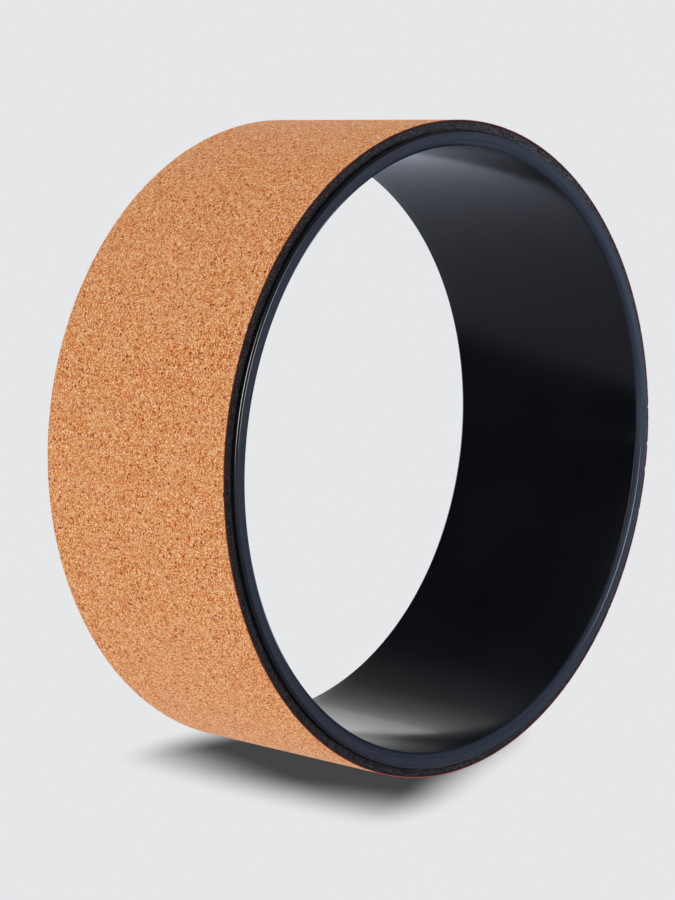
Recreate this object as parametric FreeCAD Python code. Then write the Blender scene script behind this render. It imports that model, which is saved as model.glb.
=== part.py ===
import FreeCAD, Part
import math
import os

# Yoga wheel: a rigid plastic hoop, a foam pad round it and a cork cover round the foam.
# Frame: millimetres, origin at the centre of the wheel, the wheel's axis along Y,
# +Z up. The wheel stands upright on its tread, at z = -TREAD_RADIUS.

V = FreeCAD.Vector

# ---- driving dimensions -------------------------------------------------
HOOP_OD = 320.0            # outside diameter of the hoop's tube
HOOP_WALL = 7.8            # wall of that tube
HOOP_WIDTH = 127.0         # overall width of the wheel, 5 inches
HOOP_OUTER_CHAMFER = 0.9   # small broken edge outside, both ends
HOOP_INNER_CHAMFER = 2.2   # wide broken edge inside, both ends
OUTER_EDGE_ROUND = 0.5     # rounding where the outer chamfer meets its neighbours
INNER_EDGE_ROUND = 0.3     # rounding where the inner chamfer meets its neighbours

HOOP_PROUD = 3.0           # how far the hoop stands out past foam and cork, each side
ADHESIVE = 0.15            # thickness of each adhesive film
ADHESIVE_INSET = 0.5       # the films stop this far short of the cut edges
FOAM = 3.7                 # thickness of the foam pad
CORK = 1.0                 # thickness of the cork cover

FOAM_SEAM_DEG = 24.0       # where the foam strip's ends meet, from +X towards +Z
FOAM_SEAM_GAP = 0.20
CORK_SEAM_DEG = -36.0      # where the cork sheet's ends meet
CORK_SEAM_GAP = 0.30

# ---- derived ------------------------------------------------------------
HOOP_RO = HOOP_OD / 2.0
HOOP_RI = HOOP_RO - HOOP_WALL
FOAM_RI = HOOP_RO + ADHESIVE
FOAM_RO = FOAM_RI + FOAM
CORK_RI = FOAM_RO + ADHESIVE
TREAD_RADIUS = CORK_RI + CORK
COVER_WIDTH = HOOP_WIDTH - 2.0 * HOOP_PROUD


def rounded_profile(corners):
    """Closed wire in the XY plane from (radius, axial, corner rounding) points."""
    n = len(corners)
    starts, ends, mids = [], [], []
    for i in range(n):
        x, y, r = corners[i]
        p = V(x, y, 0)
        a = V(corners[i - 1][0], corners[i - 1][1], 0) - p
        b = V(corners[(i + 1) % n][0], corners[(i + 1) % n][1], 0) - p
        a.normalize()
        b.normalize()
        half = math.acos(max(-1.0, min(1.0, a.dot(b)))) / 2.0
        t = r / math.tan(half)
        bis = a + b
        bis.normalize()
        starts.append(p + a * t)
        ends.append(p + b * t)
        mids.append(p + bis * (r / math.sin(half) - r))
    edges = []
    for i in range(n):
        if corners[i][2] > 0:
            edges.append(Part.Arc(starts[i], mids[i], ends[i]).toShape())
        j = (i + 1) % n
        edges.append(Part.LineSegment(ends[i], starts[j]).toShape())
    return Part.Wire(edges)


def turned(wire):
    """Solid of revolution about the wheel's axis."""
    solid = Part.Face(wire).revolve(V(0, 0, 0), V(0, 1, 0), 360)
    if isinstance(solid, Part.Shell) or not solid.Solids:
        solid = Part.makeSolid(solid)
    return solid.Solids[0]


def ring(inner, outer, width):
    """Plain ring between two radii, centred on the wheel's middle plane."""
    start, axis = V(0, -width / 2.0, 0), V(0, 1, 0)
    return Part.makeCylinder(outer, width, start, axis).cut(
        Part.makeCylinder(inner, width, start, axis)
    ).Solids[0]


def with_seam(solid, outer, width, degrees, gap):
    """Open the ring at one place, where the two ends of the wrapped strip meet."""
    slit = Part.makeBox(30.0, width + 10.0, gap, V(outer - 20.0, -width / 2.0 - 5.0, -gap / 2.0))
    slit.rotate(V(0, 0, 0), V(0, 1, 0), -degrees)
    return solid.cut(slit).removeSplitter().Solids[0]


# ---- the hoop, turned from one profile ----------------------------------
h, co, ci = HOOP_WIDTH / 2.0, HOOP_OUTER_CHAMFER, HOOP_INNER_CHAMFER
ro, ri = OUTER_EDGE_ROUND, INNER_EDGE_ROUND
core_hoop = turned(
    rounded_profile(
        [
            (HOOP_RO, -(h - co), ro),
            (HOOP_RO, h - co, ro),
            (HOOP_RO - co, h, ro),
            (HOOP_RI + ci, h, ri),
            (HOOP_RI, h - ci, ri),
            (HOOP_RI, -(h - ci), ri),
            (HOOP_RI + ci, -h, ri),
            (HOOP_RO - co, -h, ro),
        ]
    )
)

# ---- what is wrapped and glued round it ---------------------------------
film_width = COVER_WIDTH - 2.0 * ADHESIVE_INSET
hoop_adhesive = ring(HOOP_RO, FOAM_RI, film_width)
foam_pad = with_seam(ring(FOAM_RI, FOAM_RO, COVER_WIDTH), FOAM_RO, COVER_WIDTH, FOAM_SEAM_DEG, FOAM_SEAM_GAP)
cork_adhesive = ring(FOAM_RO, CORK_RI, film_width)
cork_cover = with_seam(ring(CORK_RI, TREAD_RADIUS, COVER_WIDTH), TREAD_RADIUS, COVER_WIDTH, CORK_SEAM_DEG, CORK_SEAM_GAP)

pieces = {
    "core_hoop": core_hoop,
    "hoop_adhesive": hoop_adhesive,
    "foam_pad": foam_pad,
    "cork_adhesive": cork_adhesive,
    "cork_cover": cork_cover,
}

os.makedirs("parts", exist_ok=True)
for name, shape in pieces.items():
    shape.exportStep("parts/%s.step" % name)
    box = shape.optimalBoundingBox()
    print(
        "%-14s valid %s solids %d volume %.1f cm3 box %.2f x %.2f x %.2f"
        % (name, shape.isValid(), len(shape.Solids), shape.Volume / 1000.0, box.XLength, box.YLength, box.ZLength)
    )

bore_wall = 2.0 * (h - ci - ri * math.tan(math.radians(22.5)))
print("tread radius %.3f, bore radius %.3f, straight bore wall %.3f" % (TREAD_RADIUS, HOOP_RI, bore_wall))
print("end face from radius %.3f to %.3f" % (HOOP_RI + ci + ri * math.tan(math.radians(22.5)), HOOP_RO - co - ro * math.tan(math.radians(22.5))))
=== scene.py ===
import math
import bpy
import numpy as np
from mathutils import Matrix, Vector
from mathutils import noise as mnoise


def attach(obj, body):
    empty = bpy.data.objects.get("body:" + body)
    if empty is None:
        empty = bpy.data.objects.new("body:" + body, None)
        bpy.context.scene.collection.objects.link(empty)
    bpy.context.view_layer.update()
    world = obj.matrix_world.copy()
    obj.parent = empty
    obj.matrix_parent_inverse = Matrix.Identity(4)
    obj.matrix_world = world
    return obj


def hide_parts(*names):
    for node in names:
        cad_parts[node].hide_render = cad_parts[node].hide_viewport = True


# Yoga wheel: glossy black hoop, black foam pad, cork cover. Metres, axis along Y, +Z up.

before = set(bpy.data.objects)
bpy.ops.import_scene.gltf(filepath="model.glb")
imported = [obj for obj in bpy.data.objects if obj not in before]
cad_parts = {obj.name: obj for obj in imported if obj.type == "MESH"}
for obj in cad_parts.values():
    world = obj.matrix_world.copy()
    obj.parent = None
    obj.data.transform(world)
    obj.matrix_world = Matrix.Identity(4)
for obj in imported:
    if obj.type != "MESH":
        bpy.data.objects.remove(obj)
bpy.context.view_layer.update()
scene = bpy.context.scene
MM = 0.001

# ---- sizes, as in the CAD model (mm) ------------------------------------
HOOP_RO, HOOP_RI, HOOP_HALF = 160.0, 152.2, 63.5
HOOP_CO, HOOP_CI, HOOP_ROUND_O, HOOP_ROUND_I, HOOP_ROUND_BORE = 0.9, 2.2, 0.5, 0.6, 0.12
FOAM_RI, FOAM_RO, COVER_HALF = 160.15, 163.85, 60.5
CORK_RI, CORK_RO = 164.0, 165.0
FOAM_SEAM, FOAM_GAP = math.radians(24.0), 0.20
CORK_SEAM, CORK_GAP = math.radians(-36.0), 0.30
FLOOR_Z = -CORK_RO


# ---- mesh helpers -------------------------------------------------------
def noise_field(points, scale, seed):
    """Smooth noise, about -1..1, at points in mm. scale is in mm."""
    off = Vector((seed * 17.31, seed * 5.77, seed * 11.13))
    k = 1.0 / scale
    f = mnoise.noise
    return np.array([f(Vector((p[0] * k, p[1] * k, p[2] * k)) + off) for p in points])


def smooth(x, a, b):
    t = np.clip((x - a) / (b - a), 0.0, 1.0)
    return t * t * (3 - 2 * t)


def rounded(corners, n):
    """Closed profile of (radius, axial) points from (radius, axial, rounding) corners."""
    out = []
    m = len(corners)
    for i in range(m):
        x, y, r = corners[i]
        p = np.array([x, y])
        a = np.array(corners[i - 1][:2]) - p
        b = np.array(corners[(i + 1) % m][:2]) - p
        a, b = a / np.linalg.norm(a), b / np.linalg.norm(b)
        half = math.acos(float(np.clip(a @ b, -1, 1))) / 2
        t = r / math.tan(half)
        bis = (a + b) / np.linalg.norm(a + b)
        c = p + bis * (r / math.sin(half))
        s, e = p + a * t, p + b * t
        u, v = s - c, e - c
        turn = math.acos(float(np.clip(u @ v / (r * r), -1, 1)))
        for k in range(n + 1):
            f = k / n
            w = (math.sin((1 - f) * turn) * u + math.sin(f * turn) * v) / math.sin(turn)
            out.append(tuple(c + w))
    return out


def fill_rows(profile, step):
    """Extra points along the long straight stretches of a closed profile, at most step apart."""
    out = []
    m = len(profile)
    for i in range(m):
        p, q = np.array(profile[i]), np.array(profile[(i + 1) % m])
        n = max(1, int(math.ceil(np.linalg.norm(q - p) / step(p, q))))
        out += [tuple(p + (q - p) * k / n) for k in range(n)]
    return out


def ring_points(profile, thetas):
    """Vertices in mm, shape (columns, rows, 3), of a profile turned about Y."""
    prof = np.array(profile)
    c, s = np.cos(thetas)[:, None], np.sin(thetas)[:, None]
    return np.stack([c * prof[None, :, 0], np.broadcast_to(prof[None, :, 1], (len(thetas), len(prof))), s * prof[None, :, 0]], 2)


def ring_object(name, pts, closed):
    """Mesh object from a (columns, rows, 3) grid in mm. The rows close on themselves. An open ring gets end caps."""
    nc, nr = pts.shape[:2]
    cols = nc if closed else nc - 1
    j, i = np.meshgrid(np.arange(cols), np.arange(nr), indexing="ij")
    j1, i1 = (j + 1) % nc, (i + 1) % nr
    quads = np.stack([j * nr + i, j * nr + i1, j1 * nr + i1, j1 * nr + i], 2).reshape(-1, 4)
    faces = quads.tolist()
    if not closed:
        faces.append(list(range(nr))[::-1])
        faces.append([(nc - 1) * nr + k for k in range(nr)])
    mesh = bpy.data.meshes.new(name)
    mesh.from_pydata((pts.reshape(-1, 3) * MM).tolist(), [], faces)
    mesh.update()
    vol = signed_volume(mesh)
    if vol < 0:
        mesh.flip_normals()
    mesh.polygons.foreach_set("use_smooth", [True] * len(mesh.polygons))
    if not closed:
        mesh.polygons[-1].use_smooth = mesh.polygons[-2].use_smooth = False
    mesh.update()
    obj = bpy.data.objects.new(name, mesh)
    scene.collection.objects.link(obj)
    return obj


def signed_volume(mesh):
    mesh.calc_loop_triangles()
    n = len(mesh.vertices)
    co = np.zeros(n * 3)
    mesh.vertices.foreach_get("co", co)
    co = co.reshape(-1, 3)
    tri = np.zeros(len(mesh.loop_triangles) * 3, int)
    mesh.loop_triangles.foreach_get("vertices", tri)
    a, b, c = co[tri.reshape(-1, 3).T]
    return float(np.einsum("ij,ij->i", a, np.cross(b, c)).sum() / 6)


# ---- material helpers ---------------------------------------------------
class Nodes:
    def __init__(self, name):
        self.mat = bpy.data.materials.new(name)
        self.mat.use_nodes = True
        self.t = self.mat.node_tree
        self.t.nodes.clear()
        self.out = self.t.nodes.new("ShaderNodeOutputMaterial")
        self.bsdf = self.t.nodes.new("ShaderNodeBsdfPrincipled")
        self.t.links.new(self.bsdf.outputs[0], self.out.inputs["Surface"])
        place = self.t.nodes.new("ShaderNodeTexCoord")
        self.obj, self.normal = place.outputs["Object"], place.outputs["Normal"]

    def set(self, socket, value):
        if hasattr(value, "is_linked") or hasattr(value, "links"):
            self.t.links.new(value, socket)
        else:
            socket.default_value = value

    def math(self, op, a, b=None, c=None, clamp=False):
        n = self.t.nodes.new("ShaderNodeMath")
        n.operation, n.use_clamp = op, clamp
        for k, v in enumerate((a, b, c)):
            if v is not None:
                self.set(n.inputs[k], v)
        return n.outputs[0]

    def vmath(self, op, a, b=None):
        n = self.t.nodes.new("ShaderNodeVectorMath")
        n.operation = op
        self.set(n.inputs[0], a)
        if b is not None:
            self.set(n.inputs[3 if op == "SCALE" else 1], b)
        return n.outputs["Value" if op in ("LENGTH", "DOT_PRODUCT", "DISTANCE") else "Vector"]

    def xyz(self, v):
        n = self.t.nodes.new("ShaderNodeSeparateXYZ")
        self.set(n.inputs[0], v)
        return n.outputs

    def join(self, x, y, z):
        n = self.t.nodes.new("ShaderNodeCombineXYZ")
        for k, v in enumerate((x, y, z)):
            self.set(n.inputs[k], v)
        return n.outputs[0]

    def noise(self, vec, scale, detail=2.0, rough=0.5, distortion=0.0, dims="3D"):
        n = self.t.nodes.new("ShaderNodeTexNoise")
        n.noise_dimensions = dims
        self.set(n.inputs["Vector"], vec)
        for k, v in (("Scale", scale), ("Detail", detail), ("Roughness", rough), ("Distortion", distortion)):
            n.inputs[k].default_value = v
        return n.outputs

    def voronoi(self, vec, scale, feature="F1", randomness=1.0):
        n = self.t.nodes.new("ShaderNodeTexVoronoi")
        n.feature = feature
        self.set(n.inputs["Vector"], vec)
        n.inputs["Scale"].default_value = scale
        n.inputs["Randomness"].default_value = randomness
        return n.outputs

    def range(self, v, a, b, lo=0.0, hi=1.0, smoothstep=True):
        n = self.t.nodes.new("ShaderNodeMapRange")
        n.interpolation_type = "SMOOTHSTEP" if smoothstep else "LINEAR"
        self.set(n.inputs["Value"], v)
        for k, x in (("From Min", a), ("From Max", b), ("To Min", lo), ("To Max", hi)):
            n.inputs[k].default_value = x
        return n.outputs["Result"]

    def ramp(self, v, stops, mode="LINEAR"):
        n = self.t.nodes.new("ShaderNodeValToRGB")
        n.color_ramp.interpolation = mode
        e = n.color_ramp.elements
        while len(e) > 1:
            e.remove(e[-1])
        for k, (pos, col) in enumerate(stops):
            q = e[0] if k == 0 else e.new(pos)
            q.position = pos
            q.color = (*col, 1.0) if len(col) == 3 else col
        self.set(n.inputs[0], v)
        return n.outputs[0]

    def mix(self, f, a, b, blend="MIX"):
        n = self.t.nodes.new("ShaderNodeMix")
        n.data_type, n.blend_type = "RGBA", blend
        self.set(n.inputs["Factor"], f)
        for k, v in ((6, a), (7, b)):
            self.set(n.inputs[k], (*v, 1.0) if isinstance(v, tuple) and len(v) == 3 else v)
        return n.outputs[2]

    def bump(self, height, strength, distance, normal=None):
        n = self.t.nodes.new("ShaderNodeBump")
        n.inputs["Strength"].default_value = strength
        n.inputs["Distance"].default_value = distance
        self.set(n.inputs["Height"], height)
        if normal is not None:
            self.set(n.inputs["Normal"], normal)
        return n.outputs[0]


def cork_material():
    m = Nodes("cork_agglomerate")
    p = m.obj
    # granules: irregular cells, so the coordinates wander a little first
    wander = m.noise(p, 1700.0, 2.0)["Color"]
    q = m.vmath("ADD", p, m.vmath("SCALE", m.vmath("SUBTRACT", wander, (0.5, 0.5, 0.5)), 0.00022))
    big = m.voronoi(q, 1950.0)
    fine = m.voronoi(q, 3100.0)
    edge = m.voronoi(q, 1950.0, "DISTANCE_TO_EDGE")["Distance"]
    r1 = m.xyz(big["Color"])
    r2 = m.xyz(fine["Color"])
    tone = m.math("ADD", m.math("MULTIPLY", r1[0], 0.94), m.math("MULTIPLY", r2[1], 0.06))
    col = m.ramp(
        tone,
        [
            (0.00, (0.405, 0.022, 0.001)),
            (0.12, (0.495, 0.058, 0.004)),
            (0.27, (0.597, 0.149, 0.026)),
            (0.50, (0.703, 0.296, 0.090)),
            (0.75, (0.798, 0.434, 0.175)),
            (1.00, (0.915, 0.735, 0.475)),
        ],
    )
    # binder between granules
    col = m.mix(m.range(edge, 0.0, 0.09, 0.22, 0.0), col, (0.40, 0.12, 0.035))
    # bark specks: red-brown, some with a dark heart
    sp = m.voronoi(q, 500.0)
    kind = m.xyz(sp["Color"])
    pick = m.range(kind[2], 0.79, 0.83)
    speck = m.math("MULTIPLY", pick, m.range(sp["Distance"], 0.27, 0.42, 1.0, 0.0))
    heart = m.math("MULTIPLY", m.math("MULTIPLY", pick, m.range(kind[0], 0.40, 0.55)), m.range(sp["Distance"], 0.15, 0.28, 1.0, 0.0))
    col = m.mix(m.math("MULTIPLY", speck, 0.85), col, (0.345, 0.026, 0.001))
    col = m.mix(m.math("MULTIPLY", heart, 0.92), col, (0.105, 0.009, 0.001))
    # pin holes
    ph = m.voronoi(q, 1500.0)
    hole = m.math("MULTIPLY", m.range(m.xyz(ph["Color"])[1], 0.90, 0.95), m.range(ph["Distance"], 0.25, 0.50, 1.0, 0.0))
    col = m.mix(m.math("MULTIPLY", hole, 0.8), col, (0.16, 0.022, 0.005))
    # slow drift of tone over the sheet
    drift = m.range(m.noise(p, 26.0, 3.0)["Fac"], 0.3, 0.7, 0.0, 1.0)
    col = m.mix(m.math("MULTIPLY", drift, 0.10), col, (0.75, 0.40, 0.19))
    # the cut edges are redder than the sanded face, and black with glue towards the foam
    x, y, z = m.xyz(p)
    rad = m.vmath("LENGTH", m.join(x, 0.0, z))
    cut = m.range(m.math("ABSOLUTE", m.xyz(m.normal)[1]), 0.15, 0.45)
    glue = m.range(rad, (CORK_RI + 0.40) * MM, (CORK_RI + 0.62) * MM, 1.0, 0.0)
    # painted shade: the cut edge's own dark red-brown is painted darker towards the top and lighter below
    cut_edge_painted_shade = m.mix(m.range(z, -0.15, 0.15), (0.210, 0.044, 0.025), (0.085, 0.012, 0.010))
    col = m.mix(cut, col, m.mix(glue, cut_edge_painted_shade, (0.010, 0.008, 0.008)))
    m.set(m.bsdf.inputs["Base Color"], col)
    m.set(m.bsdf.inputs["Roughness"], m.range(tone, 0.2, 0.9, 0.90, 0.74))
    m.bsdf.inputs["Specular IOR Level"].default_value = 0.06
    m.bsdf.inputs["Sheen Weight"].default_value = 0.05
    m.bsdf.inputs["Sheen Roughness"].default_value = 0.35
    h = m.math("SUBTRACT", m.math("MULTIPLY", m.range(edge, 0.0, 0.14), 0.45), m.math("ADD", hole, m.math("MULTIPLY", speck, 0.4)))
    h = m.math("ADD", h, m.math("MULTIPLY", r2[2], 0.35))
    m.set(m.bsdf.inputs["Normal"], m.bump(h, 0.12, 0.00016))
    return m.mat


def foam_material():
    m = Nodes("closed_cell_foam")
    p = m.obj
    wander = m.noise(p, 1400.0, 1.0)["Color"]
    q = m.vmath("ADD", p, m.vmath("SCALE", m.vmath("SUBTRACT", wander, (0.5, 0.5, 0.5)), 0.0005))
    cell = m.voronoi(q, 1500.0)
    wall = m.voronoi(q, 1500.0, "DISTANCE_TO_EDGE")["Distance"]
    rim = m.range(wall, 0.0, 0.16, 1.0, 0.0)
    tone = m.math("ADD", m.math("MULTIPLY", rim, 0.55), m.math("MULTIPLY", m.xyz(cell["Color"])[0], 0.45))
    col = m.ramp(tone, [(0.0, (0.0026, 0.0022, 0.0027)), (0.42, (0.0096, 0.0085, 0.0101)), (0.75, (0.035, 0.032, 0.036)), (1.0, (0.125, 0.115, 0.128))])
    m.set(m.bsdf.inputs["Base Color"], col)
    m.set(m.bsdf.inputs["Roughness"], m.range(rim, 0.0, 1.0, 0.95, 0.72))
    m.bsdf.inputs["Specular IOR Level"].default_value = 0.08
    m.set(m.bsdf.inputs["Normal"], m.bump(m.range(wall, 0.0, 0.30, 1.0, 0.0), 0.6, 0.00025))
    return m.mat


def hoop_material():
    m = Nodes("hoop_gloss_plastic")
    p = m.obj
    x, y, z = m.xyz(p)
    ay = m.math("ABSOLUTE", y)
    rad = m.vmath("LENGTH", m.join(x, 0.0, z))
    # turned ends: chamfers and end faces
    turned = m.range(ay, (HOOP_HALF - 2.35) * MM, (HOOP_HALF - 2.15) * MM)
    outside = m.range(rad, (HOOP_RO - 0.15) * MM, (HOOP_RO - 0.02) * MM)
    turned = m.math("MULTIPLY", turned, m.math("SUBTRACT", 1.0, outside))
    # fine rings left by the tool on the ends
    ring = m.noise(m.join(m.math("MULTIPLY", rad, 5200.0), m.math("MULTIPLY", x, 9.0), m.math("MULTIPLY", z, 9.0)), 1.0, 3.0, 0.6)["Fac"]
    # faint drawn lines along the bore, and slow change of gloss
    drawn = m.noise(m.join(m.math("MULTIPLY", x, 420.0), m.math("MULTIPLY", y, 9.0), m.math("MULTIPLY", z, 420.0)), 1.0, 3.0, 0.55)["Fac"]
    haze = m.noise(p, 22.0, 4.0, 0.6)["Fac"]
    # dust
    d = m.voronoi(p, 120.0)
    dust = m.math("MULTIPLY", m.range(m.xyz(d["Color"])[0], 0.55, 0.60), m.range(d["Distance"], 0.012, 0.026, 1.0, 0.0))
    wall_col = m.ramp(haze, [(0.3, (0.0032, 0.0036, 0.0052)), (0.7, (0.0042, 0.0046, 0.0066))])
    end_col = m.ramp(ring, [(0.25, (0.0063, 0.0090, 0.0162)), (0.75, (0.0090, 0.0126, 0.0225))])
    # the inner chamfer is cut matt, with painted shade: dark at the bore and paler outwards, and a painted dark line
    # along its outer edge; the small outer one is polished by handling
    inner = m.range(rad, (HOOP_RI + 2.2) * MM, (HOOP_RI + 2.5) * MM, 1.0, 0.0)
    outer = m.range(rad, (HOOP_RO - 1.25) * MM, (HOOP_RO - 0.95) * MM)
    # painted shade: a dark line painted along the outer edge of the inner chamfer, next to the end face
    line = m.math("MULTIPLY", m.range(rad, (HOOP_RI + 2.2) * MM, (HOOP_RI + 2.5) * MM), m.range(rad, (HOOP_RI + 2.8) * MM, (HOOP_RI + 3.2) * MM, 1.0, 0.0))
    inner_chamfer_painted_shade = m.mix(m.range(rad, (HOOP_RI + 0.15) * MM, (HOOP_RI + 1.25) * MM), (0.0024, 0.0032, 0.0056), m.ramp(ring, [(0.25, (0.0092, 0.0132, 0.0230)), (0.75, (0.0126, 0.0180, 0.0310))]))
    end_col = m.mix(inner, end_col, inner_chamfer_painted_shade)
    end_col = m.mix(m.math("MULTIPLY", line, 0.70), end_col, (0.0020, 0.0024, 0.0036))
    end_col = m.mix(outer, end_col, (0.0032, 0.0036, 0.0052))
    col = m.mix(turned, wall_col, end_col)
    col = m.mix(m.math("MULTIPLY", dust, 0.55), col, (0.30, 0.29, 0.28))
    m.set(m.bsdf.inputs["Base Color"], col)
    wall_rough = m.math("ADD", m.range(haze, 0.3, 0.7, 0.12, 0.17), m.range(drawn, 0.35, 0.75, 0.0, 0.035))
    end_rough = m.math("ADD", m.math("MULTIPLY", inner, 0.20), m.math("MULTIPLY", outer, 0.11))
    rest = m.math("SUBTRACT", 1.0, m.math("ADD", inner, outer))
    end_rough = m.math("ADD", end_rough, m.math("MULTIPLY", rest, m.range(ring, 0.25, 0.75, 0.26, 0.36)))
    rough = m.math("ADD", m.math("MULTIPLY", wall_rough, m.math("SUBTRACT", 1.0, turned)), m.math("MULTIPLY", end_rough, turned))
    m.set(m.bsdf.inputs["Roughness"], m.math("MAXIMUM", rough, m.math("MULTIPLY", dust, 0.8)))
    m.bsdf.inputs["Specular IOR Level"].default_value = 0.5
    h = m.math("ADD", m.math("MULTIPLY", m.math("MULTIPLY", ring, turned), 0.5), m.math("MULTIPLY", m.math("MULTIPLY", drawn, m.math("SUBTRACT", 1.0, turned)), 0.06))
    m.set(m.bsdf.inputs["Normal"], m.bump(h, 0.25, 0.00006))
    return m.mat


def adhesive_material():
    m = Nodes("dried_adhesive")
    f = m.noise(m.obj, 240.0, 3.0)["Fac"]
    m.set(m.bsdf.inputs["Base Color"], m.ramp(f, [(0.3, (0.030, 0.024, 0.018)), (0.7, (0.075, 0.060, 0.044))]))
    m.set(m.bsdf.inputs["Roughness"], m.range(f, 0.3, 0.7, 0.35, 0.6))
    m.set(m.bsdf.inputs["Normal"], m.bump(f, 0.3, 0.0001))
    return m.mat


# ---- the hoop -----------------------------------------------------------
def make_hoop():
    h, co, ci, ro, ri, rb = HOOP_HALF, HOOP_CO, HOOP_CI, HOOP_ROUND_O, HOOP_ROUND_I, HOOP_ROUND_BORE
    prof = rounded(
        [
            (HOOP_RO, -(h - co), ro),
            (HOOP_RO, h - co, ro),
            (HOOP_RO - co, h, ro),
            (HOOP_RI + ci, h, ri),
            (HOOP_RI, h - ci, rb),
            (HOOP_RI, -(h - ci), rb),
            (HOOP_RI + ci, -h, ri),
            (HOOP_RO - co, -h, ro),
        ],
        5,
    )

    def step(p, q):
        if abs(p[0] - HOOP_RI) < 0.01 and abs(q[0] - HOOP_RI) < 0.01:
            return 9.0
        if abs(p[0] - HOOP_RO) < 0.01 and abs(q[0] - HOOP_RO) < 0.01:
            return 24.0
        return 1.4

    prof = fill_rows(prof, step)
    th = np.linspace(0, 2 * np.pi, 960, endpoint=False)
    pts = ring_points(prof, th)
    # the wall is not a perfect cylinder: a few hundredths of a millimetre of slow waves
    rr = np.hypot(pts[..., 0], pts[..., 2])
    straight = HOOP_HALF - 2.7
    wall = (np.abs(rr - HOOP_RI) < 0.02) & (np.abs(pts[..., 1]) < straight)
    wave = 0.020 * np.sin(3 * th + 0.7) + 0.012 * np.sin(7 * th + 2.1) + 0.006 * np.sin(17 * th + 0.4)
    fade = smooth(straight - np.abs(pts[..., 1]), 0.0, 8.0)
    k = 1 + (wave[:, None] * fade * wall) / rr
    pts[..., 0] *= k
    pts[..., 2] *= k
    return ring_object("hoop", pts, True)


# ---- the foam pad -------------------------------------------------------
def make_foam():
    n = 10
    rs = np.linspace(FOAM_RI, FOAM_RO, n + 1)
    prof = [(r, COVER_HALF) for r in rs] + [(FOAM_RO, 20.0), (FOAM_RO, -20.0)] + [(r, -COVER_HALF) for r in rs[::-1]] + [(FOAM_RI, -20.0), (FOAM_RI, 20.0)]
    half = FOAM_GAP / 2 / FOAM_RO
    th = np.linspace(FOAM_SEAM + half, FOAM_SEAM + 2 * np.pi - half, 2300)
    pts = ring_points(prof, th)
    side = np.abs(np.abs(pts[..., 1]) - COVER_HALF) < 1e-6
    rr = np.hypot(pts[..., 0], pts[..., 2])
    sel = pts[side]
    a = noise_field(sel, 0.62, 1)
    b = noise_field(sel, 1.5, 2)
    pit = 0.34 * smooth(a, 0.02, 0.45) + 0.10 * b
    mid = (rr[side] - FOAM_RI) / (FOAM_RO - FOAM_RI)
    crown = 0.16 * (1 - (2 * mid - 1) ** 2) - 0.10
    hem = smooth(np.minimum(mid, 1 - mid), 0.0, 0.12)
    sgn = np.sign(sel[:, 1])
    sel[:, 1] += sgn * (crown - pit * hem)
    pts[side] = sel
    return ring_object("foam_band", pts, False)


# ---- the cork cover -----------------------------------------------------
def make_cork():
    rnd = 0.22
    rows = 108
    ys = np.linspace(COVER_HALF - rnd, -(COVER_HALF - rnd), rows)
    outer = [(CORK_RO, y) for y in ys]
    lo = [(CORK_RO - rnd + rnd * math.cos(a), -(COVER_HALF - rnd) - rnd * math.sin(a)) for a in (math.pi / 6, math.pi / 3, math.pi / 2)]
    hi = [(CORK_RO - rnd + rnd * math.cos(a), COVER_HALF - rnd + rnd * math.sin(a)) for a in (math.pi / 2, math.pi / 3, math.pi / 6)]
    low_side = [(CORK_RI + 0.42, -COVER_HALF), (CORK_RI + 0.18, -COVER_HALF), (CORK_RI, -COVER_HALF)]
    high_side = [(CORK_RI, COVER_HALF), (CORK_RI + 0.18, COVER_HALF), (CORK_RI + 0.42, COVER_HALF)]
    inner = [(CORK_RI, -30.0), (CORK_RI, 30.0)]
    prof = outer + lo + low_side + inner + high_side + hi
    half = CORK_GAP / 2 / CORK_RO
    th = np.linspace(CORK_SEAM + half, CORK_SEAM + 2 * np.pi - half, 1440)
    pts = ring_points(prof, th)
    nc, nr = pts.shape[:2]
    flat = pts.reshape(-1, 3)
    rowid = np.tile(np.arange(nr), nc)
    face = rowid < rows
    near_edge = (~face) & (np.hypot(flat[:, 0], flat[:, 2]) > CORK_RI + 0.1)
    # sanded sheet: slow waves over the foam, shallow pits where granules pulled out
    sel = flat[face]
    slow = 0.035 * noise_field(sel, 45.0, 3)
    pits = -0.10 * smooth(noise_field(sel, 1.7, 4), 0.34, 0.62)
    grain = 0.018 * noise_field(sel, 1.1, 5)
    d = slow - 0.045 + pits + grain
    # the two ends dip slightly where they meet
    ang = np.arctan2(sel[:, 2], sel[:, 0])
    off = np.abs((ang - CORK_SEAM + np.pi) % (2 * np.pi) - np.pi) * CORK_RO
    d = d - 0.10 * (1 - smooth(off, 0.0, 1.6))
    r = np.hypot(sel[:, 0], sel[:, 2])
    sel[:, 0] *= 1 + d / r
    sel[:, 2] *= 1 + d / r
    flat[face] = sel
    # crumbly cut edges: small chips, and a few larger nicks
    at_edge = np.abs(flat[:, 1]) > COVER_HALF - 0.6
    sel = flat[at_edge]
    chip = 0.10 * smooth(noise_field(sel * np.array([1.0, 0.02, 1.0]), 1.3, 6), 0.05, 0.6)
    chip = chip + 0.22 * smooth(noise_field(sel * np.array([1.0, 0.02, 1.0]), 2.6, 7), 0.42, 0.7)
    sel[:, 1] -= np.sign(sel[:, 1]) * chip
    flat[at_edge] = sel
    for deg, side, depth, width in NICKS:
        ang = np.arctan2(flat[:, 2], flat[:, 0])
        s = ((ang - math.radians(deg) + np.pi) % (2 * np.pi) - np.pi) * CORK_RO
        e = COVER_HALF - flat[:, 1] * side
        w = np.exp(-((s / width) ** 2)) * smooth(2.2 - e, 0.0, 2.2)
        flat[:, 1] -= side * depth * w
    return ring_object("cork_sheet", flat.reshape(nc, nr, 3), False)


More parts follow.
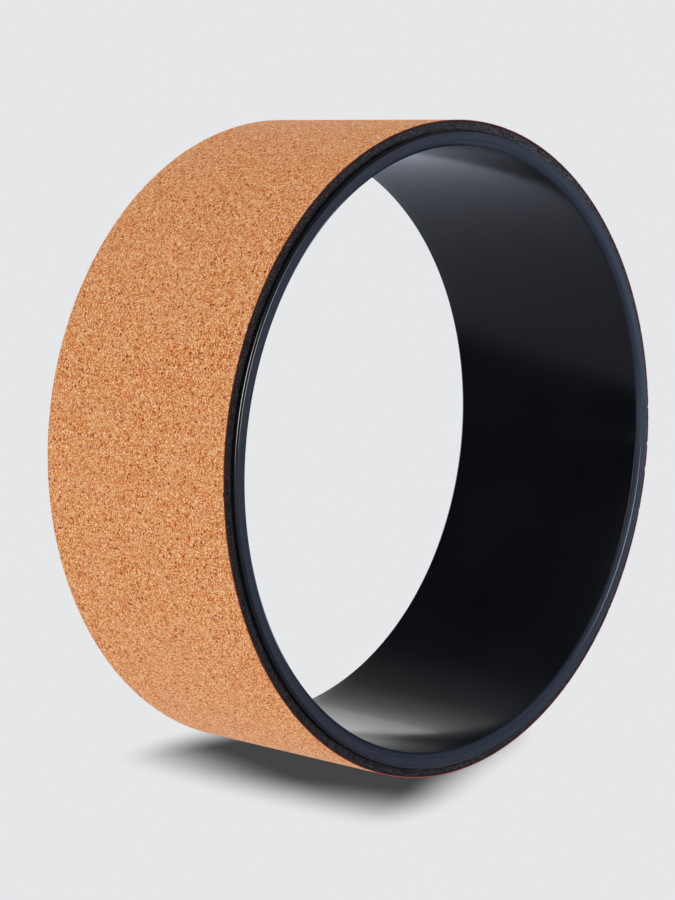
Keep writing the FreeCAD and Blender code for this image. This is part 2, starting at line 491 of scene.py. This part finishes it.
NICKS = [(154.0, -1, 0.55, 0.8), (181.4, -1, 0.65, 0.7), (3.0, -1, 0.45, 0.9), (-4.0, -1, 0.6, 0.6), (-9.0, -1, 0.4, 1.1), (71.0, 1, 0.5, 0.8), (-120.0, 1, 0.6, 0.7), (128.0, 1, 0.4, 1.0)]


# ---- adhesive films -----------------------------------------------------
def make_film(name, r0, r1, seed):
    half = COVER_HALF - 0.5
    prof = [(r1, half), (r1, 20.0), (r1, -20.0), (r1, -half), ((r0 + r1) / 2, -half - 0.05), (r0, -half), (r0, -20.0), (r0, 20.0), (r0, half), ((r0 + r1) / 2, half + 0.05)]
    th = np.linspace(0, 2 * np.pi, 1200, endpoint=False)
    pts = ring_points(prof, th)
    # the spread film stops at an uneven line
    edge = np.abs(pts[..., 1]) > half - 0.1
    sel = pts[edge]
    creep = 0.28 * noise_field(sel * np.array([1.0, 0.01, 1.0]), 7.0, seed) + 0.16 * noise_field(sel * np.array([1.0, 0.01, 1.0]), 2.2, seed + 1)
    sel[:, 1] += np.sign(sel[:, 1]) * np.clip(creep, -0.5, 0.36)
    pts[edge] = sel
    return ring_object(name, pts, True)


pieces = [
    (make_hoop(), "core_hoop", "hoop_plastic", hoop_material()),
    (make_film("adhesive_hoop_side", HOOP_RO, FOAM_RI, 8), "hoop_adhesive", "adhesive", adhesive_material()),
    (make_foam(), "foam_pad", "black_foam", foam_material()),
    (make_film("adhesive_cork_side", FOAM_RO, CORK_RI, 10), "cork_adhesive", "adhesive", adhesive_material()),
    (make_cork(), "cork_cover", "cork", cork_material()),
]
for obj, node, slot, mat in pieces:
    obj.data.materials.append(mat)
    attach(obj, "root")
    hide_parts(node)


# ---- floor, light, camera -----------------------------------------------
def plane(name, corners, mat):
    mesh = bpy.data.meshes.new(name)
    mesh.from_pydata(corners, [], [(0, 1, 2, 3)])
    obj = bpy.data.objects.new(name, mesh)
    obj.data.materials.append(mat)
    scene.collection.objects.link(obj)
    return obj


BACK = (0.7913, 0.7991, 0.8148)


def direction(az, el):
    a, e = math.radians(az), math.radians(el)
    return Vector((math.sin(a) * math.cos(e), -math.cos(a) * math.cos(e), math.sin(e)))


def floor_material():
    """Pale floor, lit from below like a light table, with a painted contact shadow under the wheel's left overhang. The
    glossy hoop sees a painted reflection of a dimmer floor that brightens away from the wheel."""
    m = bpy.data.materials.new("pale_floor")
    m.use_nodes = True
    t = m.node_tree
    t.nodes.clear()

    def node(kind, **inputs):
        n = t.nodes.new(kind)
        for k, v in inputs.items():
            k = int(k[1:]) if k[0] == "_" and k[1:].isdigit() else k.replace("_", " ")
            if hasattr(v, "links"):
                t.links.new(v, n.inputs[k])
            else:
                n.inputs[k].default_value = v
        return n

    def calc(op, a, b=None):
        n = t.nodes.new("ShaderNodeMath")
        n.operation = op
        for k, v in enumerate((a, b)):
            if v is None:
                continue
            if hasattr(v, "links"):
                t.links.new(v, n.inputs[k])
            else:
                n.inputs[k].default_value = v
        return n.outputs[0]

    def ease(v, a, b, lo=0.0, hi=1.0):
        n = t.nodes.new("ShaderNodeMapRange")
        n.interpolation_type = "SMOOTHSTEP"
        t.links.new(v, n.inputs["Value"])
        for k, x in (("From Min", a), ("From Max", b), ("To Min", lo), ("To Max", hi)):
            n.inputs[k].default_value = x
        return n.outputs["Result"]

    out = node("ShaderNodeOutputMaterial")
    pos = t.nodes.new("ShaderNodeTexCoord").outputs["Object"]
    sep = node("ShaderNodeSeparateXYZ", _0=pos)
    x, y = sep.outputs[0], sep.outputs[1]
    # painted shadow: a soft-edged dark patch with round corners painted into the floor's glow, which ends just past the
    # line of contact
    def past(across, along, start, width):
        v = calc("ADD", calc("MULTIPLY", x, across), calc("MULTIPLY", y, along))
        n = calc("MULTIPLY", calc("SUBTRACT", v, start), 1.0 / width)
        return calc("POWER", calc("MAXIMUM", n, 0.0), 2.0)

    off = past(1.0, 0.0, 0.06, 0.06)
    for sides in ((-0.9734, 0.2290, 0.0561, 0.0688), (-0.9451, -0.3268, 0.0591, 0.0823), (0.1000, 0.9950, 0.0580, 0.0440), (0.3632, -0.9317, 0.0417, 0.0376)):
        off = calc("ADD", off, past(*sides))
    off = calc("POWER", off, 0.5)
    shade = ease(off, 0.0, 1.0, 1.0, 0.0)
    seen = node("ShaderNodeEmission", Color=(*BACK, 1.0), Strength=calc("SUBTRACT", 1.0, calc("MULTIPLY", shade, SHADE)))
    # what the hoop reflects: painted shade, the floor painted dimmer near the wheel and brighter away from it
    away = calc("MULTIPLY", calc("ADD", x, y), 0.7071)
    level = ease(away, 0.05, 0.85, 0.27, 0.90)
    edge = ease(calc("SUBTRACT", y, calc("MULTIPLY", x, 0.33)), 0.30, 0.40, 1.0, 0.10)
    left = ease(x, -0.16, -0.02)
    level = calc("MULTIPLY", level, calc("MAXIMUM", edge, left))
    near = calc("MULTIPLY", calc("ADD", calc("MULTIPLY", x, 0.66), calc("MULTIPLY", y, 0.75)), -1.0)
    level = calc("ADD", level, ease(near, 0.12, 1.1, 0.0, 0.50))
    mirror = node("ShaderNodeEmission", Color=(0.88, 0.96, 1.14, 1.0), Strength=level)
    # what matt surfaces get back from it
    bounce = node("ShaderNodeEmission", Color=(0.985, 1.03, 1.10, 1.0), Strength=BOUNCE)
    path = t.nodes.new("ShaderNodeLightPath")
    given = node("ShaderNodeMixShader", _0=path.outputs["Is Diffuse Ray"])
    t.links.new(seen.outputs[0], given.inputs[1])
    t.links.new(bounce.outputs[0], given.inputs[2])
    both = node("ShaderNodeMixShader", _0=path.outputs["Is Glossy Ray"])
    t.links.new(given.outputs[0], both.inputs[1])
    t.links.new(mirror.outputs[0], both.inputs[2])
    t.links.new(both.outputs[0], out.inputs["Surface"])
    return m


SHADE, BOUNCE = 0.928, 1.02
S = 4.0
floor_mat = floor_material()
floor_mat.cycles.emission_sampling = "NONE"
floor = plane("floor", [(-S, -S, FLOOR_Z * MM), (S, -S, FLOOR_Z * MM), (S, S, FLOOR_Z * MM), (-S, S, FLOOR_Z * MM)], floor_mat)


def studio_world():
    """Pale to the camera. Matt surfaces see soft light all round. Glossy ones see the studio: a softbox to the left, one
    in front, a lit wall low at the back right, and dim walls."""
    w = bpy.data.worlds.new("studio")
    w.use_nodes = True
    t = w.node_tree
    t.nodes.clear()
    out = t.nodes.new("ShaderNodeOutputWorld")
    dirn = t.nodes.new("ShaderNodeTexCoord").outputs["Generated"]

    def lobe(vec, stops):
        d = t.nodes.new("ShaderNodeVectorMath")
        d.operation = "DOT_PRODUCT"
        t.links.new(dirn, d.inputs[0])
        d.inputs[1].default_value = tuple(Vector(vec).normalized())
        shift = t.nodes.new("ShaderNodeMapRange")
        shift.inputs["From Min"].default_value, shift.inputs["From Max"].default_value = -1.0, 1.0
        t.links.new(d.outputs["Value"], shift.inputs["Value"])
        r = t.nodes.new("ShaderNodeValToRGB")
        r.color_ramp.interpolation = "EASE"
        e = r.color_ramp.elements
        while len(e) > 1:
            e.remove(e[-1])
        for k, (pos, val) in enumerate(stops):
            q = e[0] if k == 0 else e.new((pos + 1) / 2)
            q.position = (pos + 1) / 2
            q.color = (*val, 1.0)
        t.links.new(shift.outputs["Result"], r.inputs[0])
        return r.outputs[0]

    def total(parts, blend="ADD"):
        out = parts[0]
        for p in parts[1:]:
            n = t.nodes.new("ShaderNodeMix")
            n.data_type, n.blend_type = "RGBA", blend
            n.inputs["Factor"].default_value = 1.0
            t.links.new(out, n.inputs[6])
            t.links.new(p, n.inputs[7])
            out = n.outputs[2]
        return out

    def grey(v, tint=(1, 1, 1)):
        return tuple(v * c for c in tint)

    def background(colour):
        b = t.nodes.new("ShaderNodeBackground")
        if hasattr(colour, "links"):
            t.links.new(colour, b.inputs["Color"])
        else:
            b.inputs["Color"].default_value = (*colour, 1.0)
        return b.outputs[0]

    def pick(flag, a, b):
        n = t.nodes.new("ShaderNodeMixShader")
        t.links.new(flag, n.inputs[0])
        t.links.new(a, n.inputs[1])
        t.links.new(b, n.inputs[2])
        return n.outputs[0]

    dim = (0.85, 1.0, 1.35)
    wall = lobe(direction(133.0, 9.0), [(0.30, grey(0.0)), (0.60, grey(0.03)), (0.84, grey(0.26)), (0.92, grey(0.74)), (0.962, grey(1.30))])
    top = lobe((0.0, 0.0, 1.0), [(-1.0, grey(1.0)), (0.390, grey(1.0)), (0.397, grey(0.56)), (0.545, grey(0.54)), (0.75, grey(0.5))])
    wall = total([wall, top], "MULTIPLY")
    left = lobe((-0.93, -0.15, 0.33), [(0.88, grey(0.0)), (0.945, grey(SOFTBOX * 0.40)), (0.98, grey(SOFTBOX))])
    front = lobe((0.0, -0.985, 0.17), [(0.90, grey(0.0)), (0.955, grey(SOFTBOX * 0.26)), (0.98, grey(SOFTBOX * 0.60))])
    room = lobe((-0.35, -0.85, 0.40), [(-0.14, grey(0.016, dim)), (0.15, grey(0.16)), (1.0, grey(0.16))])
    studio = background(total([wall, left, front, room]))
    soft = background(lobe((-0.7, -0.5, -0.5), [(-1.0, grey(SOFT * 0.80, (0.96, 1.02, 1.12))), (1.0, grey(SOFT * 1.20, (1.01, 1.0, 0.98)))]))
    pale = background(BACK)
    path = t.nodes.new("ShaderNodeLightPath").outputs
    t.links.new(pick(path["Is Camera Ray"], pick(path["Is Glossy Ray"], soft, studio), pale), out.inputs["Surface"])
    return w


SOFTBOX, SOFT = 24.0, 0.89
scene.world = studio_world()
scene.world.cycles.sampling_method = "NONE"


def lamp(name, place, power, size, colour=(1.0, 1.0, 1.0), aim=(0.0, 0.0, 0.0)):
    light = bpy.data.lights.new(name, "AREA")
    light.energy, light.color = power, colour
    light.shape, light.size, light.size_y = "RECTANGLE", size[0], size[1]
    o = bpy.data.objects.new(name, light)
    scene.collection.objects.link(o)
    o.location = place
    o.rotation_mode = "QUATERNION"
    o.rotation_quaternion = (Vector(place) - Vector(aim)).to_track_quat("Z", "Y")
    o.visible_camera = False
    return o


# a cool window at the front right, which the ends of the hoop face
window = lamp("window", (0.30, -0.34, 0.12), 2.4, (0.16, 0.24), colour=(0.90, 1.00, 1.10), aim=(0.12, -0.06, 0.0))
window.visible_glossy = False

cam_data = bpy.data.cameras.new("camera")
cam = bpy.data.objects.new("camera", cam_data)
scene.collection.objects.link(cam)
scene.camera = cam
CAM_AZ, CAM_EL, CAM_DIST, CAM_F = -48.195, 7.292, 1.2730, 2456.5
LOOK_AZ, LOOK_EL = -47.504, 7.503


cam.location = direction(CAM_AZ, CAM_EL) * CAM_DIST
cam.rotation_mode = "QUATERNION"
cam.rotation_quaternion = (-direction(LOOK_AZ, LOOK_EL)).to_track_quat("-Z", "Y")
cam_data.sensor_width = 36.0
cam_data.sensor_fit = "AUTO"
cam_data.lens = CAM_F / 900.0 * 36.0
cam_data.clip_start, cam_data.clip_end = 0.05, 200.0

scene.view_settings.view_transform = "Standard"
scene.view_settings.look = "None"
scene.view_settings.exposure = 0.0
scene.view_settings.gamma = 1.0
